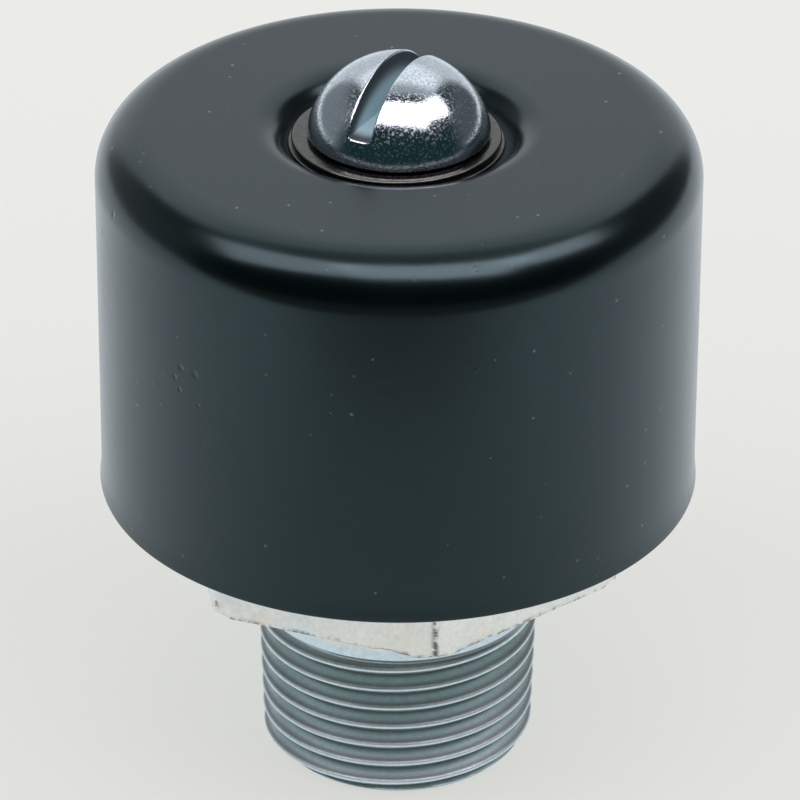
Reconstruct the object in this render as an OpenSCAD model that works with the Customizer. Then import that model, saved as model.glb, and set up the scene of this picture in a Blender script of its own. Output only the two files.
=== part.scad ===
// Breather vent cap: a screw-in vent for an oil tank or gearbox.
// A drawn steel cap stands over a turned hexagon body. Air comes up between the
// cap's skirt and the hexagon, goes in through a knitted wire ring, and reaches
// the tank by the cross holes and the bore. One slotted screw holds the cap down.
// All sizes are in millimetres. The axis is Z, and the tip of the spigot is at Z 0.

/* [Cap] */
// Outside diameter of the skirt
cap_od = 35.6; // [32:0.2:60]
// Height of the cap from its rim to its flat top
cap_height = 23; // [21:0.2:40]
// Thickness of the drawn sheet
cap_sheet = 0.8; // [0.5:0.1:1.2]
// Outside radius of the drawn edge between skirt and top
cap_edge_r = 2.7; // [2:0.1:5]
// Depth of the pressed seat for the screw, below the flat top
seat_depth = 1.3; // [0.6:0.05:2.2]
// Inside radius at the foot of the seat's wall
seat_foot_r = 0.2; // [0.2:0.1:1]
// Outside radius at the lip of the seat's wall
seat_lip_r = 2; // [2:0.1:4]

/* [Hexagon] */
// Width of the hexagon across its flats
hex_af = 24; // [22:0.5:27]
// Height of the hexagon
hex_height = 9; // [6:0.5:14]
// How much of the hexagon shows below the cap's rim
hex_show = 5.1; // [2:0.1:6]
// Depth of the turned chamfer on the hexagon's corners
hex_chamfer = 0.45; // [0.2:0.05:1]

/* [Threaded spigot] */
// Major diameter of the taper thread at its large end
thread_d = 16.9; // [14:0.02:18]
// Diameter that the taper loses in each millimetre of length
thread_taper = 0.0625; // [0:0.0125:0.1]
// Length of the threaded stretch
thread_length = 10.5; // [7:0.1:14]
// Distance from one crest of the thread to the next
thread_pitch = 1.337; // [0.9:0.001:2]
// Depth of the thread from its crests to its roots
thread_depth = 0.85; // [0.4:0.01:1]
// Flat on each crest and each root of the thread
thread_flat = 0.22; // [0.1:0.01:0.3]
// Plain collar between the hexagon and the thread
collar_length = 2.7; // [1:0.1:6]
// Lead chamfer at the tip, across and along
lead_chamfer = 0.9; // [0.4:0.1:1.2]

/* [Air way] */
// Bore through the spigot and the hexagon
bore_d = 8; // [6:0.1:9]
// Countersink at the mouth of the bore
bore_chamfer = 0.5; // [0.2:0.1:0.9]
// Full angle of the drill's point at the end of the bore
drill_angle = 118; // [90:1:140]
// Diameter of the cross holes from the filter to the bore
cross_hole_d = 4; // [2.5:0.1:5]
// Number of cross holes
cross_holes = 4; // [2:1:6]
// Height of the cross holes' axes above the hexagon
cross_hole_rise = 4.5; // [3:0.1:5]
// Full-width bore above the cross holes' axes
bore_past_holes = 3; // [2.6:0.1:4]

/* [Post] */
// Diameter of the post that carries the cap
post_d = 12; // [11:0.1:13]
// Chamfer round the top of the post
post_chamfer = 0.5; // [0.2:0.1:0.8]

/* [Screw] */
// Diameter of the screw's shank
screw_d = 6; // [5:0.1:6.5]
// Length of the shank under the head
screw_length = 10; // [8:0.5:11]
// Chamfer at the tip of the shank
screw_chamfer = 0.6; // [0.3:0.1:1]
// Diameter of the round head
head_d = 10.8; // [9.5:0.1:12]
// Height of the round head
head_height = 4.8; // [4:0.1:5.4]
// Round at the foot of the head
head_foot_r = 0.5; // [0.2:0.1:0.8]
// Width of the driver slot
slot_w = 1.4; // [1:0.1:2]
// Depth of the driver slot from the top of the head
slot_depth = 3.1; // [1.5:0.1:3.2]
// Turn of the slot about the axis
slot_turn = 52.5; // [0:0.5:180]

/* [Washer] */
// Outside diameter of the washer under the screw's head
washer_od = 12.6; // [11.5:0.1:13.5]
// Thickness of the washer
washer_t = 0.6; // [0.5:0.05:1.2]

/* [Filter] */
// Outside diameter of the knitted wire ring
filter_od = 23; // [18:0.5:24]

/* [Fits] */
// Clearance round the screw in its tapped hole
tap_gap = 0.05; // [0.02:0.01:0.1]
// Clearance round the screw in the cap
cap_hole_gap = 0.3; // [0.2:0.05:0.6]
// Clearance round the screw in the washer, when the washer is central
washer_gap = 0.2; // [0.2:0.05:0.6]
// Clearance left between washer and screw on the side that it has slid to
washer_slack = 0.05; // [0.02:0.01:0.1]
// Room between the washer and the foot of the seat's wall
seat_gap = 0.05; // [0.05:0.05:0.5]
// Clearance of the filter ring round the post and under the cap
filter_gap = 0.2; // [0.1:0.05:0.3]

/* [Hidden] */
$fn = 96;

// Overrun of a cut past the face that it opens
cut = 1;

// Levels up the axis
collar_z = thread_length;
hex_z = collar_z + collar_length;
hex_top_z = hex_z + hex_height;
rim_z = hex_z + hex_show;
cap_top_z = rim_z + cap_height;
seat_z = cap_top_z - seat_depth;
post_top_z = seat_z - cap_sheet;
washer_top_z = seat_z + washer_t;
cross_hole_z = hex_top_z + cross_hole_rise;
bore_end_z = cross_hole_z + bore_past_holes;

// The washer has slid to one side, nearly as far as its hole lets it
washer_shift = washer_gap - washer_slack;

// Radii
cap_r = cap_od / 2;
thread_r = thread_d / 2;
tip_r = thread_r - thread_taper * thread_length / 2;
hex_corner_r = hex_af / sqrt(3);
bore_r = bore_d / 2;
post_r = post_d / 2;
filter_r = filter_od / 2;
head_r = head_d / 2;
screw_r = screw_d / 2;
washer_r = washer_od / 2;
seat_r = washer_r + washer_shift + seat_gap;

// The thread is drawn as rings of its own form, counted down from the collar
thread_rings = floor((thread_length - lead_chamfer) / thread_pitch);
groove_half = (thread_pitch - thread_flat) / 2;

// Radius of the thread's cone at a height
function cone_r(z) = tip_r + thread_taper * z / 2;

// Half section of one groove, from the crest below it to the crest above it
function groove(z) = [
    [cone_r(z - groove_half), z - groove_half],
    [cone_r(z) - thread_depth, z - thread_flat / 2],
    [cone_r(z) - thread_depth, z + thread_flat / 2],
    [cone_r(z + groove_half), z + groove_half]
];

// The seat's wall is two arcs of one angle, up from the floor and then over the lip
seat_wall_angle = acos(1 - seat_depth / (seat_foot_r + seat_lip_r));
seat_wall_dir = [sin(seat_wall_angle), -cos(seat_wall_angle)];
foot_centre = [seat_r, seat_z + seat_foot_r];
lip_centre = foot_centre + (seat_foot_r + seat_lip_r) * seat_wall_dir;

// The head is a slice of a sphere that is as wide and as high as the head
dome_r = (head_r * head_r + head_height * head_height) / (2 * head_height);

// Half section of the room above the cap's seat, with the sheet's face sunk by depth
module seat_room(depth) {
    above_z = cap_top_z + cut;
    translate([0, seat_z - depth]) square([seat_r, above_z - seat_z + depth]);
    translate(foot_centre) circle(seat_foot_r + depth);
    difference() {
        polygon([foot_centre, lip_centre, [lip_centre.x, above_z], [seat_r, above_z]]);
        translate(lip_centre) circle(seat_lip_r - depth);
    }
}

// Half section of all that lies under the cap's outside, drawn in by depth
module cap_section(depth) {
    edge = [cap_r - cap_edge_r, cap_top_z - cap_edge_r];
    difference() {
        union() {
            translate([0, rim_z]) square([cap_r - depth, edge.y - rim_z]);
            translate([0, rim_z]) square([edge.x, cap_top_z - depth - rim_z]);
            translate(edge) circle(cap_edge_r - depth);
        }
        seat_room(depth);
    }
}

// Drawn steel cup with a pressed seat in the middle of its top
module cap() {
    color("#23282a")
    rotate_extrude()
    difference() {
        cap_section(0);
        cap_section(cap_sheet);
        translate([0, rim_z]) square([screw_r + cap_hole_gap, cap_height]);
    }
}

// Hexagon with its corners turned off at both ends, flats facing +X and -X
module hexagon() {
    bevel = hex_chamfer * tan(30);
    intersection() {
        translate([0, 0, hex_z]) rotate(30) cylinder(r = hex_corner_r, h = hex_height, $fn = 6);
        rotate_extrude() polygon([
            [0, hex_z],
            [hex_corner_r - hex_chamfer, hex_z],
            [hex_corner_r, hex_z + bevel],
            [hex_corner_r, hex_top_z - bevel],
            [hex_corner_r - hex_chamfer, hex_top_z],
            [0, hex_top_z]
        ]);
    }
}

// Turned core: taper thread with its lead chamfer, plain collar, and the post that
// stands on the hexagon and carries the cap's seat
module turned_core() {
    inside_hex_z = hex_z + hex_height / 2;
    tip = [
        [0, 0],
        [tip_r - lead_chamfer, 0],
        [cone_r(lead_chamfer), lead_chamfer]
    ];
    thread = [for (i = [thread_rings - 1 : -1 : 0]) each groove(collar_z - (i + 0.5) * thread_pitch)];
    collar_and_post = [
        [thread_r, collar_z],
        [thread_r, inside_hex_z],
        [post_r, inside_hex_z],
        [post_r, post_top_z - post_chamfer],
        [post_r - post_chamfer, post_top_z],
        [0, post_top_z]
    ];
    rotate_extrude() polygon(concat(tip, thread, collar_and_post));
}

// Bore from the tip, its drilled end, the tapped hole above it and the cross holes
module air_way() {
    point_height = bore_r / tan(drill_angle / 2);
    rotate_extrude() polygon([
        [0, -cut],
        [bore_r + bore_chamfer + cut, -cut],
        [bore_r, bore_chamfer],
        [bore_r, bore_end_z],
        [0, bore_end_z + point_height]
    ]);
    translate([0, 0, bore_end_z]) cylinder(r = screw_r + tap_gap, h = post_top_z - bore_end_z + cut);
    for (i = [0 : cross_holes - 1])
        rotate((i + 0.5) * 360 / cross_holes) translate([0, 0, cross_hole_z])
            rotate([0, 90, 0]) cylinder(d = cross_hole_d, h = post_r + cut);
}

// Body turned from hexagon bar: spigot, hexagon and post in one piece
module vent_body() {
    color("#c3c8c9")
    difference() {
        union() {
            turned_core();
            hexagon();
        }
        air_way();
    }
}

// Knitted wire ring, pressed to the shape of the cap's underside
module filter_ring() {
    inner_r = post_r + filter_gap;
    color("#8d9294")
    rotate_extrude()
    intersection() {
        translate([inner_r, hex_top_z]) square([filter_r - inner_r, cap_top_z - hex_top_z]);
        cap_section(cap_sheet + filter_gap);
    }
}

// Plain washer between the screw's head and the cap
module screw_washer() {
    color("#4b4d4c")
    translate([-washer_shift, 0, seat_z])
    difference() {
        cylinder(r = washer_r, h = washer_t);
        translate([0, 0, -cut]) cylinder(r = screw_r + washer_gap, h = washer_t + 2 * cut);
    }
}

// Half section of the round head, with its foot rounded
module head_section() {
    intersection() {
        translate([0, head_height - dome_r]) circle(dome_r);
        union() {
            square([head_r - head_foot_r, head_height]);
            translate([0, head_foot_r]) square([head_r, head_height]);
            translate([head_r - head_foot_r, head_foot_r]) circle(head_foot_r);
        }
        square([head_r, head_height]);
    }
}

// Slotted round-head screw
module cap_screw() {
    color("#d3d6d8")
    translate([0, 0, washer_top_z])
    difference() {
        rotate_extrude() {
            head_section();
            polygon([
                [0, 0],
                [0, -screw_length],
                [screw_r - screw_chamfer, -screw_length],
                [screw_r, screw_chamfer - screw_length],
                [screw_r, 0]
            ]);
        }
        rotate(slot_turn) translate([-head_d, -slot_w / 2, head_height - slot_depth])
            cube([2 * head_d, slot_w, slot_depth + cut]);
    }
}

vent_body();
filter_ring();
cap();
screw_washer();
cap_screw();
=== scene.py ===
"""Dressed scene of a screw-in breather vent cap.

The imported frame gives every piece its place. This script lays smooth surfaces over it (cap,
threaded body, screw, washer and knitted filter), finishes them, and sets up a small studio.
Sizes are in millimetres until a mesh is made, and angles are in degrees.
"""

from __future__ import annotations

import logging
import math
from dataclasses import dataclass
from enum import Enum, IntEnum

import bpy
import numpy as np
from mathutils import Matrix, Vector

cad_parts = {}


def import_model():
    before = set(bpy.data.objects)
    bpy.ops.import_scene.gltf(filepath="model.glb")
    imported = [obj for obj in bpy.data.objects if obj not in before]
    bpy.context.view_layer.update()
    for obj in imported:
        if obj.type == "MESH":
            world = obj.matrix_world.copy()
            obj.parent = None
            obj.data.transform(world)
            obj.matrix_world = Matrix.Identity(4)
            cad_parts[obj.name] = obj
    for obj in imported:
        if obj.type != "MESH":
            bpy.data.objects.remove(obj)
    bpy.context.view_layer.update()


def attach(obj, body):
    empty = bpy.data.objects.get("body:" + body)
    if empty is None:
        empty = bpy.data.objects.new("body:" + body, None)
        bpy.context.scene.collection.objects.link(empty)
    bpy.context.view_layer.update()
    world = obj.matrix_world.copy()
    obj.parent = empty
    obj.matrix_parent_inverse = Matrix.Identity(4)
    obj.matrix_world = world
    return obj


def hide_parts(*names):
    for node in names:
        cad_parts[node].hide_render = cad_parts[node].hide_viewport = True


LOG = logging.getLogger("vent_cap")
MM = 0.001
FULL_TURN = 2.0 * math.pi
HALF_SIDE = math.pi / 6.0
SLOT_END = 0.5

Colour = tuple[float, float, float]
Span = tuple[float, float]
Socket = bpy.types.NodeSocket


class Slot(Enum):
    """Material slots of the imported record."""

    BODY = "body_zinc"
    FILTER = "filter_wire"
    CAP = "cap_paint"
    WASHER = "washer_steel"
    SCREW = "screw_zinc"


class Node(Enum):
    """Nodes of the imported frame."""

    BODY = "vent_body"
    FILTER = "filter_ring"
    CAP = "cap"
    WASHER = "screw_washer"
    SCREW = "cap_screw"


class SlotRow(IntEnum):
    """Kinds of rows over the screw's head, from its outside to the middle of the slot."""

    DOME = 0
    LIP = 1
    WALL = 2
    FILLET = 3
    FLOOR = 4


# Surfaces


def full_turn(steps: int) -> np.ndarray:
    """Evenly spaced angles of one turn in radians, the first one zero."""
    return np.linspace(0.0, FULL_TURN, steps, endpoint=False)


def arc(centre: Span, radius: float, start: float, end: float, steps: int) -> np.ndarray:
    """Points of a circular arc: centre plus radius times (cos, sin) of evenly spaced angles.

    Args:
        centre: Radius and height of the arc's centre.
        radius: Radius of the arc.
        start: First angle, counted from outwards to up.
        end: Last angle.
        steps: Number of steps between the two.

    Returns:
        An array of (radius, height) pairs.
    """
    turn = np.radians(np.linspace(start, end, steps + 1))
    return np.stack([centre[0] + radius * np.cos(turn), centre[1] + radius * np.sin(turn)], axis=1)


def line(first: Span, last: Span, steps: int) -> np.ndarray:
    """Evenly spaced points on a straight line, both ends included.

    Args:
        first: Radius and height of the first end.
        last: Radius and height of the last end.
        steps: Number of steps between the two.

    Returns:
        An array of (radius, height) pairs.
    """
    share = np.linspace(0.0, 1.0, steps + 1)[:, None]
    return (1.0 - share) * np.asarray(first, float) + share * np.asarray(last, float)


def grid_quads(rows: int, cols: int, wrap_rows: bool, wrap_cols: bool) -> np.ndarray:
    """Corner numbers of the quads of a grid whose points are stored row by row.

    Args:
        rows: Number of rows of points.
        cols: Number of points in each row.
        wrap_rows: Joins the last row to the first.
        wrap_cols: Joins the last point of a row to its first.

    Returns:
        An array with four corner numbers for each quad.
    """
    row, col = np.meshgrid(
        np.arange(rows if wrap_rows else rows - 1),
        np.arange(cols if wrap_cols else cols - 1),
        indexing="ij",
    )
    down = (row + 1) % rows
    right = (col + 1) % cols
    corners = [row * cols + col, down * cols + col, down * cols + right, row * cols + right]
    return np.stack(corners, axis=-1).reshape(-1, 4)


def repeat_quads(quads: np.ndarray, copies: int, points: int) -> np.ndarray:
    """Quads of several equal grids, stored one after another with the given number of points each."""
    shift = (np.arange(copies) * points)[:, None, None]
    return (quads[None] + shift).reshape(-1, 4)


def around_axis(radius: np.ndarray, height: np.ndarray, turn: np.ndarray) -> np.ndarray:
    """Points round the Z axis: x and y are radius times the cosine and sine of the turn.

    Args:
        radius: Radii, one row of points per profile point, or one column to spread over all turns.
        height: Heights, in the same layout.
        turn: Angles about the axis in radians, one per column.

    Returns:
        An array of points, row by row.
    """
    radius, height, turn = np.broadcast_arrays(radius, height, turn[None, :])
    return np.stack([radius * np.cos(turn), radius * np.sin(turn), height], axis=-1).reshape(-1, 3)


def weld(points: np.ndarray, quads: np.ndarray) -> tuple[np.ndarray, list[list[int]]]:
    """Joins points that share a place, and drops the sides that this closes up.

    A point's place is its coordinates rounded to a hundredth of a micrometre. A quad that loses
    one corner becomes a triangle, and one that loses more goes.

    Args:
        points: Points in millimetres.
        quads: Four corner numbers for each quad.

    Returns:
        The points that are left, and the faces.
    """
    decimals = 5
    _, first, place = np.unique(np.round(points, decimals), axis=0, return_index=True, return_inverse=True)
    quads = place.reshape(-1)[quads]
    same = quads == np.roll(quads, -1, axis=1)
    lost = same.sum(axis=1)
    whole = quads[lost == 0]
    pinched = quads[lost == 1]
    at = np.argmax(same[lost == 1], axis=1)
    keep = (at[:, None] + np.arange(1, 4)[None, :]) % 4
    triangles = np.take_along_axis(pinched, keep, axis=1)
    return points[first], whole.tolist() + triangles.tolist()


def signed_volume(points: np.ndarray, quads: np.ndarray) -> float:
    """Sum over the faces of the volume between each face and the origin."""
    a, b, c, d = (points[quads[:, k]] for k in range(4))
    return float(np.einsum("ij,ij->", a, np.cross(b, c)) + np.einsum("ij,ij->", a, np.cross(c, d))) / 6.0


def make_piece(name: str, points: np.ndarray, quads: np.ndarray, sharp: float = 40.0) -> bpy.types.Object:
    """Puts a closed surface into a mesh object at the origin, facing outwards and shaded smooth.

    Args:
        name: Name of the object and of its mesh.
        points: Points in millimetres.
        quads: Four corner numbers for each quad.
        sharp: Edges that bend by more than this angle stay sharp.

    Returns:
        The new object, linked to the scene.
    """
    if signed_volume(points, quads) < 0.0:
        quads = quads[:, ::-1]
    points, faces = weld(points, quads)
    mesh = bpy.data.meshes.new(name)
    mesh.from_pydata((points * MM).tolist(), [], faces)
    mesh.polygons.foreach_set("use_smooth", np.ones(len(mesh.polygons), dtype=bool))
    mesh.set_sharp_from_angle(angle=math.radians(sharp))
    mesh.update()
    piece = bpy.data.objects.new(name, mesh)
    bpy.context.scene.collection.objects.link(piece)
    return piece


def vertex_places(mesh: bpy.types.Mesh) -> np.ndarray:
    """Places of a mesh's points in millimetres: a row of all x, one of all y and one of all z."""
    place = np.empty(3 * len(mesh.vertices))
    mesh.vertices.foreach_get("co", place)
    return (place.reshape(-1, 3) / MM).T


def store(mesh: bpy.types.Mesh, name: str, values: np.ndarray) -> None:
    """Keeps a named number on each point of a mesh, for its finish to read."""
    layer = mesh.attributes.new(name, "FLOAT", "POINT")
    layer.data.foreach_set("value", values.astype(np.float32))


def smooth_step(value: np.ndarray, low: float, high: float) -> np.ndarray:
    """Zero below low, one above high, and 3 s squared minus 2 s cubed between."""
    share = np.clip((value - low) / (high - low), 0.0, 1.0)
    return share * share * (3.0 - 2.0 * share)


def soft_min(first: np.ndarray, second: np.ndarray, blend: float) -> np.ndarray:
    """The smaller of two values, with the corner between them rounded over the blend width."""
    share = np.clip(0.5 + 0.5 * (second - first) / blend, 0.0, 1.0)
    return second * (1.0 - share) + first * share - blend * share * (1.0 - share)


# Shader helpers


class Sheet:
    """A node tree with short calls for the nodes that the finishes are made of."""

    def __init__(self, tree: bpy.types.NodeTree) -> None:
        """Keeps the tree that the calls add to."""
        self.tree = tree

    def add(self, kind: str, **settings: object) -> bpy.types.Node:
        """Adds a node and sets its own properties.

        Args:
            kind: Blender's name of the node type.
            **settings: Properties of the node.

        Returns:
            The new node.
        """
        node = self.tree.nodes.new(kind)
        for name, value in settings.items():
            setattr(node, name, value)
        return node

    def feed(self, socket: Socket, source: object) -> None:
        """Links a socket to another, or sets its value.

        Args:
            socket: Socket that takes the value.
            source: Another socket, a number, a vector, or a colour of three numbers.
        """
        if isinstance(source, bpy.types.NodeSocket):
            self.tree.links.new(source, socket)
        elif socket.type == "RGBA":
            socket.default_value = (*source, 1.0)
        else:
            socket.default_value = source

    def math(self, step: str, first: object, second: object = 0.0, third: object = 0.0) -> Socket:
        """One Math node.

        Args:
            step: Operation of the node.
            first: First value or socket.
            second: Second value or socket.
            third: Third value or socket, where the operation takes one.

        Returns:
            The socket with the result.
        """
        node = self.add("ShaderNodeMath", operation=step)
        for socket, source in zip(node.inputs, (first, second, third)):
            self.feed(socket, source)
        return node.outputs[0]

    def weigh(self, first: object, share: float, second: object, other: float) -> Socket:
        """Sum of two values, each times a weight of its own."""
        scaled = self.math("MULTIPLY", first, share)
        return self.math("ADD", scaled, self.math("MULTIPLY", second, other))

    def remap(
        self, value: object, low: object, high: object, to_low: float = 0.0, to_high: float = 1.0
    ) -> Socket:
        """Carries a value smoothly from one range to another, and holds it at the ends.

        Args:
            value: Value or socket.
            low: Start of the first range.
            high: End of the first range.
            to_low: Start of the second range.
            to_high: End of the second range.

        Returns:
            The socket with the result.
        """
        node = self.add("ShaderNodeMapRange", interpolation_type="SMOOTHSTEP")
        names = ("Value", "From Min", "From Max", "To Min", "To Max")
        for name, source in zip(names, (value, low, high, to_low, to_high)):
            self.feed(node.inputs[name], source)
        return node.outputs["Result"]

    def mix(self, share: object, first: object, second: object) -> Socket:
        """Blends two colours.

        Args:
            share: Zero for the first colour, one for the second.
            first: First colour or socket.
            second: Second colour or socket.

        Returns:
            The socket with the colour.
        """
        node = self.add("ShaderNodeMix", data_type="RGBA")
        self.feed(node.inputs["Factor"], share)
        self.feed(node.inputs[6], first)
        self.feed(node.inputs[7], second)
        return node.outputs[2]

    def noise(self, place: Socket, scale: object, detail: float, rough: float) -> Socket:
        """Cloudy noise from zero to one.

        Args:
            place: Socket with the coordinates.
            scale: Clouds per metre.
            detail: Octaves of finer clouds.
            rough: Strength of the finer clouds.

        Returns:
            The socket with the value.
        """
        node = self.add("ShaderNodeTexNoise")
        self.feed(node.inputs["Vector"], place)
        self.feed(node.inputs["Scale"], scale)
        self.feed(node.inputs["Detail"], detail)
        self.feed(node.inputs["Roughness"], rough)
        return node.outputs["Fac"]

    def cells(self, place: Socket, scale: object) -> bpy.types.NodeOutputs:
        """Scattered cells, each with a colour of its own and the distance from its middle.

        Args:
            place: Socket with the coordinates.
            scale: Cells per metre.

        Returns:
            The outputs of the node.
        """
        node = self.add("ShaderNodeTexVoronoi", feature="F1")
        self.feed(node.inputs["Vector"], place)
        self.feed(node.inputs["Scale"], scale)
        return node.outputs

    def coordinates(self) -> Socket:
        """Coordinates of the piece that the material is on, in metres."""
        return self.add("ShaderNodeTexCoord").outputs["Object"]

    def attribute(self, name: str) -> Socket:
        """The number that a mesh keeps on each point under a name."""
        return self.add("ShaderNodeAttribute", attribute_name=name).outputs["Fac"]

    def along(self, place: Socket, axis: Vector) -> Socket:
        """Length of a vector along an axis: their dot product.

        Args:
            place: Socket with the vector.
            axis: Axis of length one.

        Returns:
            The socket with the length.
        """
        node = self.add("ShaderNodeVectorMath", operation="DOT_PRODUCT")
        self.feed(node.inputs[0], place)
        self.feed(node.inputs[1], axis)
        return node.outputs["Value"]

    def bump(self, height: Socket, strength: float, depth: float) -> Socket:
        """Normal of a surface that is raised by a height.

        Args:
            height: Socket with the height, from zero to one.
            strength: How much of the bump shows.
            depth: Height of one, in metres.

        Returns:
            The socket with the normal.
        """
        node = self.add("ShaderNodeBump")
        self.feed(node.inputs["Strength"], strength)
        self.feed(node.inputs["Distance"], depth)
        self.feed(node.inputs["Height"], height)
        return node.outputs["Normal"]


class Group:
    """A shared effect: a shader node group that is built once and placed in several finishes."""

    made: dict[str, bpy.types.NodeTree] = {}

    def __init__(self, name: str, inputs: dict[str, float], outputs: tuple[str, ...]) -> None:
        """Makes an empty group with a place input, number inputs and number outputs.

        Args:
            name: Name of the group.
            inputs: Names of the number inputs and their usual values.
            outputs: Names of the number outputs.
        """
        self.tree = bpy.data.node_groups.new(name, "ShaderNodeTree")
        face = self.tree.interface
        face.new_socket(name="Place", in_out="INPUT", socket_type="NodeSocketVector")
        for label, value in inputs.items():
            socket = face.new_socket(name=label, in_out="INPUT", socket_type="NodeSocketFloat")
            socket.default_value = value
        for label in outputs:
            face.new_socket(name=label, in_out="OUTPUT", socket_type="NodeSocketFloat")
        self.sheet = Sheet(self.tree)
        self.source = self.sheet.add("NodeGroupInput").outputs
        self.result = self.sheet.add("NodeGroupOutput").inputs
        Group.made[name] = self.tree

    @staticmethod
    def place(sheet: Sheet, name: str, place: Socket, **values: float) -> bpy.types.NodeOutputs:
        """Puts a group into a finish.

        Args:
            sheet: Sheet of the finish.
            name: Name of the group.
            place: Socket with the coordinates.
            **values: Values of the group's number inputs, in small letters.

        Returns:
            The outputs of the placed group.
        """
        node = sheet.add("ShaderNodeGroup", node_tree=Group.made[name])
        sheet.feed(node.inputs["Place"], place)
        for label, value in values.items():
            sheet.feed(node.inputs[label.capitalize()], value)
        return node.outputs


def build_speckle() -> None:
    """Mottled crystals: clouds cut to a mask, and a height of clouds and finer cells."""
    group = Group("speckle", {"Grain": 4000.0, "Spread": 0.2}, ("Mask", "Height"))
    sheet, source = group.sheet, group.source
    middle = 0.5
    cells_per_cloud = 1.6
    cell_height, cloud_height = 0.5, 0.7
    clouds = sheet.noise(source["Place"], source["Grain"], detail=4.0, rough=0.7)
    cells = sheet.cells(source["Place"], sheet.math("MULTIPLY", source["Grain"], cells_per_cloud))
    low = sheet.math("SUBTRACT", middle, source["Spread"])
    high = sheet.math("ADD", middle, source["Spread"])
    sheet.feed(group.result["Mask"], sheet.remap(clouds, low, high))
    sheet.feed(group.result["Height"], sheet.weigh(cells["Distance"], cell_height, clouds, cloud_height))


def build_nibs() -> None:
    """Scattered dots: a share of the cells has a round dot, each of a size of its own."""
    group = Group("nibs", {"Spacing": 250.0, "Size": 0.06, "Share": 0.2}, ("Mask",))
    sheet, source = group.sheet, group.source
    smallest = 0.35
    cells = sheet.cells(source["Place"], source["Spacing"])
    pick = sheet.add("ShaderNodeSeparateColor")
    sheet.feed(pick.inputs["Color"], cells["Color"])
    chosen = sheet.math("LESS_THAN", pick.outputs["Red"], source["Share"])
    width = sheet.math("MULTIPLY", source["Size"], sheet.math("ADD", pick.outputs["Green"], smallest))
    dot = sheet.remap(cells["Distance"], width, 0.0)
    sheet.feed(group.result["Mask"], sheet.math("MULTIPLY", dot, chosen))


def build_stain() -> None:
    """Soft patches: clouds cut to a mask between two levels."""
    group = Group("stain", {"Scale": 120.0, "Low": 0.4, "High": 0.65}, ("Mask",))
    sheet, source = group.sheet, group.source
    clouds = sheet.noise(source["Place"], source["Scale"], detail=5.0, rough=0.6)
    sheet.feed(group.result["Mask"], sheet.remap(clouds, source["Low"], source["High"]))


def build_turned_lines() -> None:
    """Lathe marks: clouds over the distance from the axis and the height, so they run round it."""
    group = Group("turned lines", {"Lines": 9000.0}, ("Height",))
    sheet, source = group.sheet, group.source
    parts = sheet.add("ShaderNodeSeparateXYZ")
    sheet.feed(parts.inputs[0], source["Place"])
    x, y, z = parts.outputs
    square = sheet.math("ADD", sheet.math("POWER", x, 2.0), sheet.math("POWER", y, 2.0))
    across = sheet.add("ShaderNodeCombineXYZ")
    sheet.feed(across.inputs["X"], sheet.math("SQRT", square))
    sheet.feed(across.inputs["Y"], z)
    lines = sheet.noise(across.outputs[0], source["Lines"], detail=2.0, rough=0.6)
    sheet.feed(group.result["Height"], lines)


# Finishes


@dataclass(frozen=True)
class Finish:
    """A surface finish: one Principled shader with a pattern on its own coordinates."""

    name: str
    colour: Colour
    roughness: float
    metallic: float = 1.0
    bump: float = 0.2
    relief: float = 0.03

    def start(self) -> tuple[bpy.types.Material, Sheet, bpy.types.Node, Socket]:
        """Makes the material with its shader and its object coordinates.

        Returns:
            The material, its sheet, its shader and the socket with the coordinates.
        """
        material = bpy.data.materials.new(self.name)
        material.use_nodes = True
        sheet = Sheet(material.node_tree)
        shader = material.node_tree.nodes["Principled BSDF"]
        shader.inputs["Base Color"].default_value = (*self.colour, 1.0)
        shader.inputs["Roughness"].default_value = self.roughness
        shader.inputs["Metallic"].default_value = self.metallic
        return material, sheet, shader, sheet.coordinates()

    def emboss(self, sheet: Sheet, shader: bpy.types.Node, height: Socket) -> None:
        """Raises the surface by a height, with the finish's own strength and relief."""
        sheet.feed(shader.inputs["Normal"], sheet.bump(height, self.bump, self.relief * MM))

    def make(self) -> bpy.types.Material:
        """Makes the finished material."""
        raise NotImplementedError


@dataclass(frozen=True)
class Pit:
    """A small pit in the paint: angle round the axis, distance from it, height and radius."""

    turn: float
    off_axis: float
    height: float
    radius: float

    def centre(self) -> Vector:
        """Place of the pit's middle, in metres."""
        turn = math.radians(self.turn)
        return MM * Vector((self.off_axis * math.cos(turn), self.off_axis * math.sin(turn), self.height))


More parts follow.
